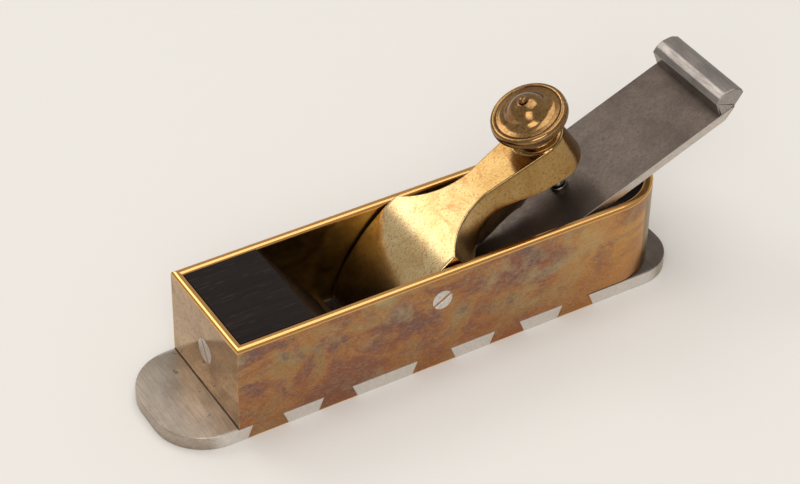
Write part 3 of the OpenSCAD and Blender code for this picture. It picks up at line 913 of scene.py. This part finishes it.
def knobGrimeShade(p):
    # grime and painted shade: dark between the teeth, in the groove round the dome and where the button
    # stands
    local = p - stemFoot
    w = local @ wAxis / mm
    rho = np.linalg.norm(local - (local @ wAxis)[:, None] * wAxis, axis=1) / mm
    onBand = (rho > 14.6) * (np.abs(w - knob["bandW"]) < 1.0)
    teeth = np.clip((knob["rimR"] - rho) / knob["toothDepth"], 0, 1) * onBand
    groove = np.exp(-((rho - knob["grooveR"]) / 0.2)**2) * (w > 42)
    seat = 0.7 * np.exp(-((rho - 1.8) / 0.35)**2) * (np.abs(w - knob["seatW"]) < 0.3)
    return 0.9 * teeth + 0.6 * groove + seat


newPiece("thumb_knob", [lathe(knobProfile(), 256, onScrew), knurlShell()], mats["knob"], "thumbscrew",
         ["thumbscrew_knob"], sharp=40, grimeAndShade=knobGrimeShade)
newPiece("knob_button", [lathe(button, 48, onScrew)], mats["knob"], "thumbscrew", ["finial_button"])
newPiece("threaded_stem", [stemShell()], mats["dark"], "thumbscrew", ["thumbscrew_stem"],
         sharp=35)
newPiece("swivel_foot", [lathe(footLine, 64, onScrew)], mats["dark"], "foot", ["screw_foot"],
         sharp=35)
print("screws and thumbscrew made")


# floor, lights and camera

studio = {
    "floorHalf": 3.0, "floorColour": (0.925, 0.90, 0.865), "worldColour": (1.0, 0.97, 0.93), "dimSide": 0.42,
    "brightSide": 0.50,
    "aim": (9.5 * mm, 22.2 * mm, 20.6 * mm), "azimuth": -31.72, "elevation": 38.79, "roll": 1.25,
    "distance": 919.9 * mm, "lens": 107.73,
}

floorMesh = bpy.data.meshes.new("floor")
h = studio["floorHalf"]
floorMesh.from_pydata([(-h, -h, 0), (h, -h, 0), (h, h, 0), (-h, h, 0)], [], [(0, 1, 2, 3)])
floorMat = Nodes("floorPaper")
floorMesh.materials.append(floorMat.finish(Base_Color=(*studio["floorColour"], 1), Roughness=0.9))
floor = bpy.data.objects.new("floor", floorMesh)
bpy.context.scene.collection.objects.link(floor)


def areaLight(name, place, target, size, watts, colour=(1, 1, 1)):
    light = bpy.data.lights.new(name, "AREA")
    light.shape = "RECTANGLE"
    light.size, light.size_y = size
    light.energy = watts
    light.color = colour
    lamp = bpy.data.objects.new(name, light)
    lamp.location = place
    lamp.rotation_euler = (Vector(target) - Vector(place)).to_track_quat("-Z", "Y").to_euler()
    bpy.context.scene.collection.objects.link(lamp)


areaLight("overheadSoftbox", (0.25, 0.10, 1.6), (0, 0, 0.02), (1.2, 1.2), 7.6, (1.0, 0.975, 0.945))
areaLight("frontSoftbox", (-0.8, -1.2, 1.2), (0, 0, 0.02), (1.0, 1.0), 9.0, (1.0, 0.975, 0.945))
areaLight("backSoftbox", (-0.36, 1.0, 1.07), (0, 0, 0.03), (0.7, 0.5), 2.6, (1.0, 0.97, 0.93))

world = bpy.data.worlds.new("studio")
bpy.context.scene.world = world
world.use_nodes = True
tree = world.node_tree
direction = tree.nodes.new("ShaderNodeTexCoord")
facingBack = tree.nodes.new("ShaderNodeVectorMath")
facingBack.operation = "DOT_PRODUCT"
facingBack.inputs[1].default_value = (0.35, 0.80, 0.49)
spread = tree.nodes.new("ShaderNodeMapRange")
for socket, value in (("From Min", -0.3), ("From Max", 0.9), ("To Min", studio["dimSide"]),
                      ("To Max", studio["brightSide"])):
    spread.inputs[socket].default_value = value
tree.links.new(direction.outputs["Generated"], facingBack.inputs[0])
tree.links.new(facingBack.outputs["Value"], spread.inputs["Value"])
tree.links.new(spread.outputs["Result"], tree.nodes["Background"].inputs["Strength"])
tree.nodes["Background"].inputs["Color"].default_value = (*studio["worldColour"], 1)

bpy.context.scene.view_settings.view_transform = "Standard"
az, el, roll = (math.radians(studio[k]) for k in ("azimuth", "elevation", "roll"))
back = Vector((math.sin(az) * math.cos(el), -math.cos(az) * math.cos(el), math.sin(el)))
rightDir = (-back).cross(Vector((0, 0, 1))).normalized()
upDir = rightDir.cross(-back)
turned = (rightDir * math.cos(roll) + upDir * math.sin(roll),
          upDir * math.cos(roll) - rightDir * math.sin(roll))
lens = bpy.data.cameras.new("camera")
lens.lens = studio["lens"]
lens.clip_start, lens.clip_end = 0.05, 20
camera = bpy.data.objects.new("camera", lens)
camera.matrix_world = Matrix.Translation(Vector(studio["aim"]) + back * studio["distance"]) @ Matrix(
    (turned[0], turned[1], back)).transposed().to_4x4()
bpy.context.scene.collection.objects.link(camera)
bpy.context.scene.camera = camera
print("studio made")
